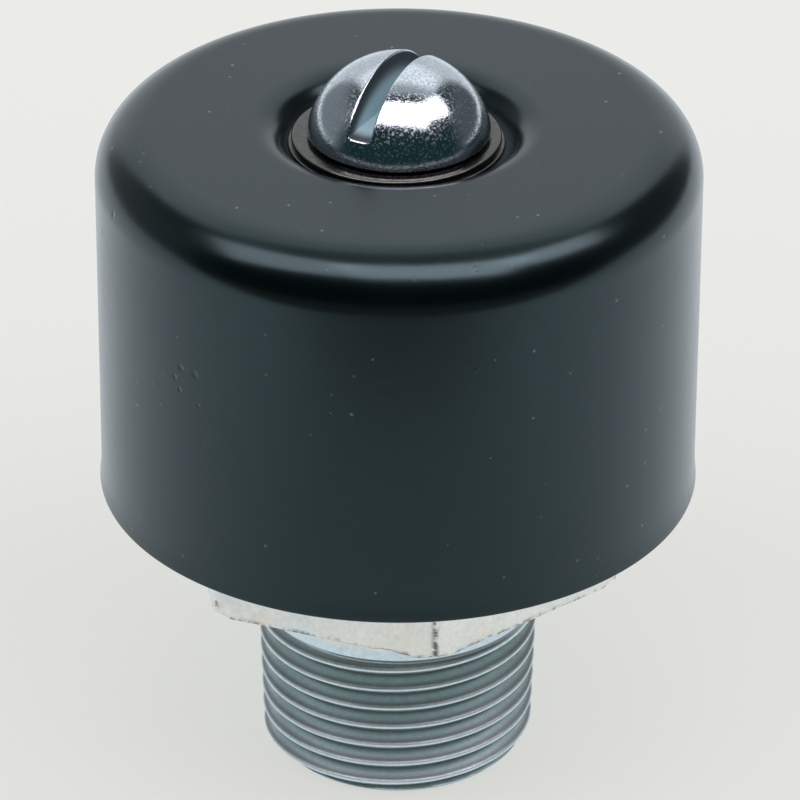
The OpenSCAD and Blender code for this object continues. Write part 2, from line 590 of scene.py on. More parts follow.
@dataclass(frozen=True)
class SatinPaint(Finish):
    """Satin black stove paint with a faint orange peel, dust nibs and a few pits."""

    metallic: float = 0.0
    bump: float = 0.35
    relief: float = 0.04
    dust: Colour = (0.10, 0.12, 0.12)
    tint: Colour = (0.64, 0.95, 1.0)
    gloss: float = 0.44
    patchy: float = 0.05
    corner_dull: float = 0.6
    peel: float = 0.35
    pit_depth: float = 2.5
    pit_floor: float = 0.25
    pits: tuple[Pit, ...] = (
        Pit(-139.86, 17.70, 32.09, 0.34),
        Pit(-143.45, 17.70, 32.12, 0.28),
        Pit(-145.12, 17.70, 31.33, 0.24),
        Pit(-143.85, 17.70, 30.64, 0.24),
        Pit(-139.12, 17.70, 30.16, 0.18),
        Pit(-167.01, 17.62, 38.79, 0.30),
        Pit(-173.48, 17.70, 36.64, 0.25),
        Pit(-84.05, 16.68, 40.45, 0.34),
    )

    def make(self) -> bpy.types.Material:
        """Makes the finished material. The paint lies dull in the seat's corner."""
        material, sheet, shader, place = self.start()
        shader.inputs["Specular Tint"].default_value = (*self.tint, 1.0)
        shader.inputs["Specular IOR Level"].default_value = self.gloss
        dust = Group.place(sheet, "nibs", place, spacing=900.0, size=0.12, share=0.5)["Mask"]
        lumps = Group.place(sheet, "nibs", place, spacing=260.0, size=0.08, share=0.5)["Mask"]
        cloud = Group.place(sheet, "stain", place, scale=90.0, low=0.3, high=0.7)["Mask"]
        sheet.feed(shader.inputs["Base Color"], sheet.mix(dust, self.colour, self.dust))
        rough = sheet.weigh(cloud, self.patchy, sheet.attribute("corner"), self.corner_dull)
        rough = sheet.math("ADD", rough, self.roughness - 0.5 * self.patchy)
        sheet.feed(shader.inputs["Roughness"], rough)
        peel = sheet.noise(place, 900.0, detail=2.0, rough=0.4)
        height = sheet.math("ADD", sheet.math("MULTIPLY", peel, self.peel), lumps)
        for pit in self.pits:
            gap = sheet.add("ShaderNodeVectorMath", operation="DISTANCE")
            sheet.feed(gap.inputs[0], place)
            sheet.feed(gap.inputs[1], pit.centre())
            hollow = sheet.remap(gap.outputs["Value"], pit.radius * MM, self.pit_floor * pit.radius * MM)
            height = sheet.math("SUBTRACT", height, sheet.math("MULTIPLY", hollow, self.pit_depth))
        self.emboss(sheet, shader, height)
        return material


@dataclass(frozen=True)
class BrightZinc(Finish):
    """Bright zinc plate, mottled by its crystals, and dull where the slot was sawn, with painted shade at
    the slot's shallow ends.
    """

    bump: float = 0.17
    grain: float = 6400.0
    spread: float = 0.17
    dull: Colour = (0.19, 0.24, 0.28)
    dull_share: float = 0.55
    speck_rough: float = 0.34
    speck_power: float = 2.4
    sawn: Colour = (0.52, 0.67, 0.70)
    sawn_rough: float = 0.8
    # Painted shade: the dark tone of the slot's shallow ends.
    end: Colour = (0.08, 0.105, 0.11)

    def make(self) -> bpy.types.Material:
        """Makes the finished material. A power of the speckle's mask keeps the rough specks few."""
        material, sheet, shader, place = self.start()
        speckle = Group.place(sheet, "speckle", place, grain=self.grain, spread=self.spread)
        share = sheet.math("MULTIPLY", speckle["Mask"], self.dull_share)
        tone = sheet.mix(share, self.colour, self.dull)
        depth = sheet.attribute("slot")
        cut = sheet.remap(depth, 0.2 * SLOT_END, 0.8 * SLOT_END)
        # The sawn tone darkens towards the slot's shallow ends as painted shade.
        sawn = sheet.mix(sheet.remap(depth, SLOT_END, 1.0), self.end, self.sawn)
        sheet.feed(shader.inputs["Base Color"], sheet.mix(cut, tone, sawn))
        specks = sheet.math("POWER", speckle["Mask"], self.speck_power)
        rough = sheet.math("MULTIPLY_ADD", specks, self.speck_rough, self.roughness)
        rough = sheet.math("MAXIMUM", rough, sheet.math("MULTIPLY", cut, self.sawn_rough))
        sheet.feed(shader.inputs["Roughness"], rough)
        self.emboss(sheet, shader, speckle["Height"])
        return material


@dataclass(frozen=True)
class PassivatedZinc(Finish):
    """Passivated zinc on turned steel: pale flats and crests, with the thread's flanks, roots and a band
    under each crest painted darker as shade.
    """

    bump: float = 0.25
    line_height: float = 0.6
    speck_height: float = 0.4
    warm: Colour = (0.72, 0.64, 0.52)
    warm_share: float = 0.7
    cool: Colour = (0.58, 0.64, 0.68)
    cool_share: float = 0.65
    crest: Colour = (0.68, 0.75, 0.77)
    thread_rough: float = 0.14
    flank: Colour = (0.55, 0.64, 0.64)
    flank_shade_depth: Span = (0.02, 0.12)
    grime_and_shade: Colour = (0.10, 0.11, 0.10)
    under_crest_shade_start: Span = (0.04, 0.16)
    under_crest_shade_end: Span = (0.55, 0.18)
    root_shade_depth: Span = (0.70, 1.0)
    groove_shade: float = 0.62
    speck_grime: float = 0.12
    speck_rough: float = 0.12

    def thread_tone_and_shade(self, sheet: Sheet, tone: Socket) -> Socket:
        """Colours the thread by its depth below the crests.

        The flanks are painted a darker grey as shade, and painted shade dims a band just below each crest
        and the roots.

        Args:
            sheet: Sheet of the finish.
            tone: Socket with the colour so far.

        Returns:
            The socket with the new colour.
        """
        depth = sheet.attribute("groove")
        # Painted shade: the flanks darker than the crests.
        tone = sheet.mix(sheet.remap(depth, *self.flank_shade_depth), tone, self.flank)
        under_crest_shade = sheet.math(
            "MULTIPLY", sheet.remap(depth, *self.under_crest_shade_start), sheet.remap(depth, *self.under_crest_shade_end)
        )
        # Painted shade at the roots and in the band under each crest.
        deep = sheet.math("MAXIMUM", under_crest_shade, sheet.remap(depth, *self.root_shade_depth))
        return sheet.mix(sheet.math("MULTIPLY", deep, self.groove_shade), tone, self.grime_and_shade)

    def make(self) -> bpy.types.Material:
        """Makes the finished material: stained zinc, the thread's painted shade, then specks, and on the
        hexagon's edges chips mixed with painted shade.
        """
        material, sheet, shader, place = self.start()
        warm = Group.place(sheet, "stain", place, scale=260.0, low=0.45, high=0.7)["Mask"]
        cool = Group.place(sheet, "stain", place, scale=170.0, low=0.5, high=0.75)["Mask"]
        chips_and_edge_shade = Group.place(sheet, "stain", place, scale=1500.0, low=0.46, high=0.58)["Mask"]
        speckle = Group.place(sheet, "speckle", place, grain=3600.0, spread=0.22)
        lines = Group.place(sheet, "turned lines", place, lines=9000.0)["Height"]
        thread = sheet.attribute("thread")
        tone = sheet.mix(sheet.math("MULTIPLY", warm, self.warm_share), self.colour, self.warm)
        tone = sheet.mix(sheet.math("MULTIPLY", cool, self.cool_share), tone, self.cool)
        # The thread's flanks, roots and the band under each crest get painted shade.
        tone = self.thread_tone_and_shade(sheet, sheet.mix(thread, tone, self.crest))
        tone = sheet.mix(sheet.math("MULTIPLY", speckle["Mask"], self.speck_grime), tone, self.grime_and_shade)
        # Dark ragged patches on the hexagon's corners and lower edge: partly chipped wear, partly painted
        # shade along those edges.
        tone = sheet.mix(sheet.math("MULTIPLY", sheet.attribute("edge"), chips_and_edge_shade), tone, self.grime_and_shade)
        sheet.feed(shader.inputs["Base Color"], tone)
        rough = sheet.weigh(speckle["Mask"], self.speck_rough, thread, self.thread_rough)
        sheet.feed(shader.inputs["Roughness"], sheet.math("ADD", rough, self.roughness))
        height = sheet.weigh(lines, self.line_height, speckle["Height"], self.speck_height)
        self.emboss(sheet, shader, height)
        return material


@dataclass(frozen=True)
class DarkSteel(Finish):
    """Dark rolled steel, lightly speckled, for the washer."""

    worn: Colour = (0.12, 0.117, 0.106)
    worn_share: float = 0.6

    def make(self) -> bpy.types.Material:
        """Makes the finished material."""
        material, sheet, shader, place = self.start()
        speckle = Group.place(sheet, "speckle", place, grain=3000.0, spread=0.2)["Mask"]
        lines = Group.place(sheet, "turned lines", place, lines=7000.0)["Height"]
        share = sheet.math("MULTIPLY", speckle, self.worn_share)
        sheet.feed(shader.inputs["Base Color"], sheet.mix(share, self.colour, self.worn))
        self.emboss(sheet, shader, lines)
        return material


@dataclass(frozen=True)
class Wire(Finish):
    """Drawn wire of the filter, a little tarnished."""

    bump: float = 0.15
    tarnish: Colour = (0.20, 0.19, 0.17)

    def make(self) -> bpy.types.Material:
        """Makes the finished material."""
        material, sheet, shader, place = self.start()
        cloud = Group.place(sheet, "stain", place, scale=300.0, low=0.4, high=0.7)["Mask"]
        speckle = Group.place(sheet, "speckle", place, grain=6000.0, spread=0.25)["Height"]
        sheet.feed(shader.inputs["Base Color"], sheet.mix(cloud, self.colour, self.tarnish))
        self.emboss(sheet, shader, speckle)
        return material


# Pieces


@dataclass
class Dressing:
    """What every sub-assembly does with a piece that it has made."""

    slot: Slot
    node: Node
    finish: Finish

    def dress(self, piece: bpy.types.Object) -> None:
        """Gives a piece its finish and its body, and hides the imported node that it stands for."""
        piece.data.materials.append(self.finish.make())
        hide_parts(self.node.value)
        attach(piece, "root")
        LOG.info("%s: %d faces", piece.name, len(piece.data.polygons))


@dataclass(frozen=True)
class Ripple:
    """A slow wave of the pressed sheet: lobes round the axis, strength, phase and twist per height."""

    lobes: float
    strength: float
    phase: float
    twist: float


@dataclass
class CapShell(Dressing):
    """The drawn cap: skirt, rounded edge, flat top and the pressed seat for the screw."""

    radius: float = 17.8
    rim_z: float = 18.3
    top_z: float = 41.3
    sheet: float = 0.8
    edge_r: float = 3.2
    seat_depth: float = 1.3
    seat_r: float = 6.5
    foot_r: float = 0.2
    lip_r: float = 2.0
    hole_r: float = 3.3
    rim_round: float = 0.16
    flare: float = 0.14
    flare_h: float = 0.55
    true_r: float = 11.0
    wave: float = 0.015
    ripples: tuple[Ripple, ...] = (
        Ripple(2.0, 1.0, 0.6, 0.0),
        Ripple(3.0, 0.6, -1.1, 0.09),
        Ripple(5.0, 0.4, 0.3, -0.14),
    )
    dull_from: Span = (-0.6, -0.3)
    dull_to: Span = (0.1, 0.35)
    turns: int = 256

    def section(self) -> np.ndarray:
        """Closed half section of the sheet.

        The outside goes up the skirt, over the edge, in over the top, down the S of two arcs to
        the seat and in to the hole. The inside comes back the same way, one sheet further in.

        Returns:
            An array of (radius, height) pairs.
        """
        wall = math.degrees(math.acos(1.0 - self.seat_depth / (self.foot_r + self.lip_r)))
        seat_z = self.top_z - self.seat_depth
        foot = (self.seat_r, seat_z + self.foot_r)
        reach = self.foot_r + self.lip_r
        lip = (
            foot[0] + reach * math.sin(math.radians(wall)),
            foot[1] - reach * math.cos(math.radians(wall)),
        )
        edge = (self.radius - self.edge_r, self.top_z - self.edge_r)
        bead = self.rim_round
        inner = self.radius - self.sheet
        low = seat_z - self.sheet
        return np.concatenate(
            [
                arc((self.radius - bead, self.rim_z + bead), bead, -90, 0, 4),
                line((self.radius, self.rim_z + bead), (self.radius, edge[1]), 48)[1:-1],
                arc(edge, self.edge_r, 0, 90, 28),
                line((edge[0], self.top_z), (lip[0], self.top_z), 18)[1:-1],
                arc(lip, self.lip_r, 90, 90 + wall, 24),
                arc(foot, self.foot_r, wall - 90, -90, 8)[1:],
                line((self.seat_r, seat_z), (self.hole_r, seat_z), 8)[1:],
                line((self.hole_r, low), (self.seat_r, low), 6),
                arc(foot, self.foot_r + self.sheet, -90, wall - 90, 8)[1:],
                arc(lip, self.lip_r - self.sheet, 90 + wall, 90, 8)[1:],
                line((lip[0], self.top_z - self.sheet), (edge[0], self.top_z - self.sheet), 8)[1:-1],
                arc(edge, self.edge_r - self.sheet, 90, 0, 12),
                line((inner, edge[1]), (inner, self.rim_z + bead), 20)[1:-1],
                arc((inner + bead, self.rim_z + bead), bead, 180, 270, 4),
            ]
        )

    def build(self) -> None:
        """Turns the section about the axis, with a faint unevenness left by the drawing press.

        The unevenness moves each point outwards by a sum of slow waves round the axis, which
        fades towards the middle of the top, so the seat stays true. Above its rim the skirt draws
        in by the flare times one minus a falling exponential of the height.
        """
        section = self.section()
        turn = full_turn(self.turns)
        radius, height = section[:, :1], section[:, 1:]
        inner = self.radius - self.sheet
        waist = self.flare * (1.0 - np.exp((self.rim_z - height) / self.flare_h))
        radius = radius - waist * smooth_step(radius, self.true_r, inner)
        waves = sum(
            ripple.strength * np.sin(ripple.lobes * turn + ripple.phase + ripple.twist * height)
            for ripple in self.ripples
        )
        push = self.wave * waves * smooth_step(radius, self.true_r, inner)
        points = around_axis(radius - 2.0 * self.wave + push, height, turn)
        quads = grid_quads(len(section), self.turns, True, True)
        piece = make_piece("cap_shell", points, quads, 50.0)
        self.mark_corner(piece.data)
        self.dress(piece)

    def mark_corner(self, mesh: bpy.types.Mesh) -> None:
        """Stores one on each point in the seat's corner, where the paint lies dull, else zero."""
        x, y, z = vertex_places(mesh)
        off = np.hypot(x, y) - self.seat_r
        low = z < self.top_z - 0.5 * self.seat_depth
        share = smooth_step(off, *self.dull_from) * (1.0 - smooth_step(off, *self.dull_to))
        store(mesh, "corner", np.where(low, share, 0.0))


@dataclass
class ThreadedBody(Dressing):
    """The turned body: taper thread, collar, hexagon, post, bore, tapped hole and cross holes."""

    pitch: float = 1.337
    form_depth: float = 0.640327
    form_round: float = 0.137329
    flank_lean: float = 62.5
    start_phase: float = 0.14
    fade_end: float = 0.35
    large_r: float = 8.45
    taper: float = 0.0625
    collar_z: float = 10.5
    lead: float = 0.9
    lead_blend: float = 0.06
    hex_z: float = 13.2
    hex_top_z: float = 22.2
    flat_r: float = 12.0
    corner_round: float = 0.35
    hex_chamfer: float = 0.45
    chamfer_lean: float = 30.0
    row_gap: float = 0.05
    post_r: float = 6.0
    post_top_z: float = 39.2
    post_chamfer: float = 0.5
    bore_r: float = 4.0
    bore_chamfer: float = 0.5
    bore_end_z: float = 29.7
    drill_half: float = 59.0
    tapped_r: float = 3.05
    tapped_chamfer: float = 0.4
    cross_r: float = 2.0
    cross_z: float = 26.7
    cross_count: int = 4
    cross_from: float = 2.9
    cross_to: float = 7.0
    edge_break: float = 0.06
    edge_w: float = 0.16
    edge_reach: float = 0.22
    tip_clear: float = 0.2
    skin: float = 0.01
    nick_seed: int = 7
    nick_count: int = 40
    nick_turns: tuple[float, ...] = (-100.8, -103.5, -73.7)
    nick_widths: tuple[float, ...] = (0.028, 0.02, 0.016)
    nick_depths: tuple[float, ...] = (0.16, 0.12, 0.14)
    width_range: Span = (0.008, 0.025)
    depth_range: Span = (0.01, 0.07)
    columns: int = 288
    rows_per_pitch: int = 20

    def turns(self) -> np.ndarray:
        """Angles of the grid's columns: even steps, with finer ones at the hexagon's corners."""
        corner = HALF_SIDE + np.arange(6) * math.pi / 3.0
        fine = np.radians(np.array([-1.4, -1.05, -0.7, -0.35, 0.35, 0.7, 1.05, 1.4]))
        every = np.concatenate([full_turn(self.columns), (corner[:, None] + fine).ravel()])
        return np.unique(np.round(every, 7))

    def thread_depth(self) -> float:
        """Depth of the full thread: a fixed part of its pitch."""
        return self.form_depth * self.pitch

    def chamfer_r(self) -> float:
        """Radius of the round that the chamfer leaves on the hexagon's underside and top."""
        return 2.0 * self.flat_r / math.sqrt(3.0) - self.hex_chamfer

    def hex_radius(self, turn: np.ndarray) -> np.ndarray:
        """Radius of the hexagon's outline with rounded corners.

        On a flat it is the flat's distance over the cosine of the angle from the flat's middle.
        Near a corner it is the far crossing of the ray with the corner's circle.

        Args:
            turn: Angles about the axis in radians.

        Returns:
            One radius for each angle.
        """
        off_flat = np.mod(turn + HALF_SIDE, 2.0 * HALF_SIDE) - HALF_SIDE
        centre = (self.flat_r - self.corner_round) / math.cos(HALF_SIDE)
        off_corner = HALF_SIDE - np.abs(off_flat)
        inside = np.maximum(self.corner_round**2 - (centre * np.sin(off_corner)) ** 2, 0.0)
        rounded = centre * np.cos(off_corner) + np.sqrt(inside)
        start = math.atan((self.flat_r - self.corner_round) * math.tan(HALF_SIDE) / self.flat_r)
        return np.where(np.abs(off_flat) > start, rounded, self.flat_r / np.cos(off_flat))

    def groove(self, turn: np.ndarray, height: np.ndarray) -> np.ndarray:
        """Depth of the thread below its crests, for a right-hand helix of 55 degree form.

        With u the distance along the axis from the nearest crest, the depth is a circular arc at
        the crest, a straight flank, and the same arc turned over at the root. It fades out over
        the last turn below the collar.

        Args:
            turn: Angles about the axis in radians.
            height: Heights.

        Returns:
            The depths, in the shape that the two give together.
        """
        round_r = self.form_round * self.pitch
        bend = math.radians(self.flank_lean)
        arc_u = round_r * math.sin(bend)
        arc_d = round_r * (1.0 - math.cos(bend))
        phase = height / self.pitch - turn / FULL_TURN - self.start_phase
        u = np.abs(np.mod(phase + 0.5, 1.0) - 0.5) * self.pitch
        crest = round_r - np.sqrt(np.maximum(round_r**2 - u**2, 0.0))
        v = 0.5 * self.pitch - u
        root = self.thread_depth() - round_r + np.sqrt(np.maximum(round_r**2 - v**2, 0.0))
        flank = arc_d + (u - arc_u) * math.tan(bend)
        depth = np.where(u < arc_u, crest, np.where(v < arc_u, root, flank))
        fade_from = self.collar_z - self.pitch
        fade_to = self.collar_z - self.fade_end * self.pitch
        return depth * (1.0 - smooth_step(height, fade_from, fade_to))

    def nicks(self, turn: np.ndarray) -> np.ndarray:
        """Extra wear of the hexagon's lower edge: a sum of narrow bell curves round the axis.

        The first few have places of their own. The rest are drawn with a fixed seed.

        Args:
            turn: Angles about the axis in radians.

        Returns:
            One depth for each angle.
        """
        rng = np.random.default_rng(self.nick_seed)
        count = self.nick_count
        places = np.concatenate([np.radians(self.nick_turns), rng.uniform(0.0, FULL_TURN, count)])
        widths = np.concatenate([self.nick_widths, rng.uniform(*self.width_range, count)])
        depths = np.concatenate([self.nick_depths, rng.uniform(*self.depth_range, count)])
        gap = np.angle(np.exp(1j * (turn[None, :] - places[:, None])))
        return np.sum(depths[:, None] * np.exp(-((gap / widths[:, None]) ** 2)), axis=0)

    def spigot_rows(self, turn: np.ndarray) -> tuple[np.ndarray, np.ndarray]:
        """Rows of the tip, the thread and the collar.

        The thread's radius is the cone's less the groove. At the tip it gives way softly to the
        lead, a cone of 45 degrees.

        Args:
            turn: Angles of the columns in radians.

        Returns:
            The radii and the heights.
        """
        flat = np.ones_like(turn)[None, :]
        tip_r = self.large_r - 0.5 * self.taper * self.collar_z
        start = tip_r - self.lead
        mouth = self.bore_r + self.bore_chamfer
        tip = np.concatenate(
            [
                line((self.bore_r, self.bore_chamfer), (mouth, 0.0), 3),
                line((mouth, 0.0), (start, 0.0), 6)[1:],
            ]
        )
        steps = int(round(self.collar_z / (self.pitch / self.rows_per_pitch)))
        thread_z = np.linspace(0.0, self.collar_z, steps + 1)[1:, None] * flat
        cone = tip_r + 0.5 * self.taper * thread_z
        cut = cone - self.groove(turn[None, :], thread_z)
        thread_r = soft_min(cut, start + thread_z, self.lead_blend)
        collar_z = np.linspace(self.collar_z, self.hex_z, 14)[1:, None] * flat
        collar_r = self.large_r * flat + 0.0 * collar_z
        radii = [tip[:, :1] * flat, thread_r, collar_r]
        heights = [tip[:, 1:] * flat, thread_z, collar_z]
        return np.concatenate(radii), np.concatenate(heights)

    def hex_rows(self, turn: np.ndarray) -> tuple[np.ndarray, np.ndarray]:
        """Rows of the hexagon: its underside, its worn lower edge, its faces and its top.

        A cone of the chamfer's lean cuts the corners back, below and above.

        Args:
            turn: Angles of the columns in radians.

        Returns:
            The radii and the heights.
        """
        flat = np.ones_like(turn)[None, :]
        outline = self.hex_radius(turn)[None, :]
        slope = math.tan(math.radians(self.chamfer_lean))
        limit = self.chamfer_r()
        worn = self.edge_break + self.nicks(turn)[None, :]
        foot = np.minimum(outline, limit)
        radii = []
        heights = []
        for share in (0.25, 0.5, 0.75, 0.93, 1.0):
            radii.append(self.large_r * (1.0 - share) + share * (foot - worn))
            heights.append(self.hex_z * flat)
        for share in (0.5, 1.0):
            z = self.hex_z + share * worn
            radii.append(np.minimum(foot - worn * (1.0 - share), limit + (z - self.hex_z) / slope))
            heights.append(z)
        low = self.hex_z + np.maximum(worn, self.hex_chamfer * slope) + self.row_gap
        high = (self.hex_top_z - self.hex_chamfer * slope - self.row_gap) * flat
        for share in (0.0, 0.02, 0.25, 0.5, 0.75, 0.98, 1.0):
            z = low * (1.0 - share) + high * share
            radii.append(np.minimum(outline, limit + (z - self.hex_z) / slope))
            heights.append(z)
        for share in (0.0, 0.2, 0.5, 1.0):
            radii.append(foot * (1.0 - share) + share * self.post_r)
            heights.append(self.hex_top_z * flat)
        return np.concatenate(radii), np.concatenate(heights)

    def post_rows(self, turn: np.ndarray) -> tuple[np.ndarray, np.ndarray]:
        """Rows up the post, in over its top, and back down the tapped hole and the bore.

        Args:
            turn: Angles of the columns in radians.

        Returns:
            The radii and the heights.
        """
        flat = np.ones_like(turn)[None, :]
        top = self.post_top_z
        mouth = self.tapped_chamfer
        drill_z = self.bore_end_z + (self.bore_r - self.tapped_r) / math.tan(math.radians(self.drill_half))
        trip = np.concatenate(
            [
                line((self.post_r, self.hex_top_z), (self.post_r, top - self.post_chamfer), 12)[1:],
                line((self.post_r - self.post_chamfer, top), (self.tapped_r + mouth, top), 3),
                line((self.tapped_r, top - mouth), (self.tapped_r, drill_z), 6),
                line((self.bore_r, self.bore_end_z), (self.bore_r, self.bore_chamfer), 24)[:-1],
            ]
        )
        return trip[:, :1] * flat, trip[:, 1:] * flat

    def rows(self, turn: np.ndarray) -> tuple[np.ndarray, np.ndarray]:
        """Radius and height of every grid point, along one closed trip over the body's skin.

        The trip goes out over the tip, up the thread and collar, round the hexagon, up the post,
        in over its top, and back down the tapped hole and the bore.

        Args:
            turn: Angles of the columns in radians.

        Returns:
            Two arrays with one row for each profile point and one column for each angle.
        """
        radii, heights = zip(self.spigot_rows(turn), self.hex_rows(turn), self.post_rows(turn))
        return np.concatenate(radii), np.concatenate(heights)

    def cutter(self) -> bpy.types.Object:
        """Rods that cut the cross holes: closed cylinders from inside the bore out, one for each hole."""
        steps = 40
        around = full_turn(steps)
        along = np.array([self.cross_from, self.cross_from, self.cross_to, self.cross_to])[:, None]
        wide = np.array([0.0, self.cross_r, self.cross_r, 0.0])[:, None]
        x = along + 0.0 * around
        y = wide * np.cos(around)
        z = self.cross_z + wide * np.sin(around)
        heading = (np.arange(self.cross_count) + 0.5) * 2.0 * math.pi / self.cross_count
        cos, sin = np.cos(heading)[:, None, None], np.sin(heading)[:, None, None]
        rods = np.stack([cos * x - sin * y, sin * x + cos * y, z + 0.0 * cos], axis=-1)
        quads = repeat_quads(grid_quads(len(along), steps, False, True), self.cross_count, x.size)
        return make_piece("cross_hole_rods", rods.reshape(-1, 3), quads)

    def build(self) -> None:
        """Makes the skin, cuts the cross holes and marks the thread and the hexagon's edges."""
        turn = self.turns()
        radius, height = self.rows(turn)
        points = around_axis(radius, height, turn)
        quads = grid_quads(radius.shape[0], len(turn), True, True)
        piece = make_piece("threaded_body", points, quads, 38.0)
        rods = self.cutter()
        cut = piece.modifiers.new("cross holes", "BOOLEAN")
        cut.operation = "DIFFERENCE"
        cut.object = rods
        cut.solver = "EXACT"
        result = piece.evaluated_get(bpy.context.evaluated_depsgraph_get())
        whole = bpy.data.meshes.new_from_object(result)
        piece.modifiers.clear()
        piece.data = whole
        whole.name = "threaded_body"
        bpy.data.objects.remove(rods)
        self.mark_thread(whole)
        self.mark_edges(whole)
        self.dress(piece)

    def mark_thread(self, mesh: bpy.types.Mesh) -> None:
        """Stores on each point its depth below the thread's crests, and whether it is on the thread."""
        x, y, z = vertex_places(mesh)
        radius = np.hypot(x, y)
        cone = self.large_r - 0.5 * self.taper * (self.collar_z - z)
        depth = np.clip((cone - radius) / self.thread_depth(), 0.0, 1.0)
        outside = radius > self.bore_r + self.bore_chamfer + self.tip_clear
        inside = (z > 2.0 * self.skin) & (z < self.collar_z) & outside
        store(mesh, "groove", np.where(inside, depth, 0.0))
        store(mesh, "thread", inside)

    def mark_edges(self, mesh: bpy.types.Mesh) -> None:
        """Stores on each point its nearness to an edge of the hexagon, where the finish darkens it: partly
        chipped wear, partly painted shade along the corners and the lower edge.

        It is a bell curve of the distance to the nearest corner plus one of the height above the
        underside, kept to one at most.

        Args:
            mesh: Mesh of the body.
        """
        x, y, z = vertex_places(mesh)
        turn = np.arctan2(y, x)
        outline = np.minimum(self.hex_radius(turn), self.chamfer_r())
        high = (z > self.hex_z - self.skin) & (z < self.hex_top_z)
        on_hex = high & (np.hypot(x, y) > outline - self.edge_reach)
        off_corner = np.abs(np.mod(turn, 2.0 * HALF_SIDE) - HALF_SIDE) * self.flat_r
        near = np.exp(-((off_corner / self.edge_w) ** 2)) + np.exp(-(((z - self.hex_z) / self.edge_w) ** 2))
        store(mesh, "edge", np.where(on_hex, np.minimum(near, 1.0), 0.0))


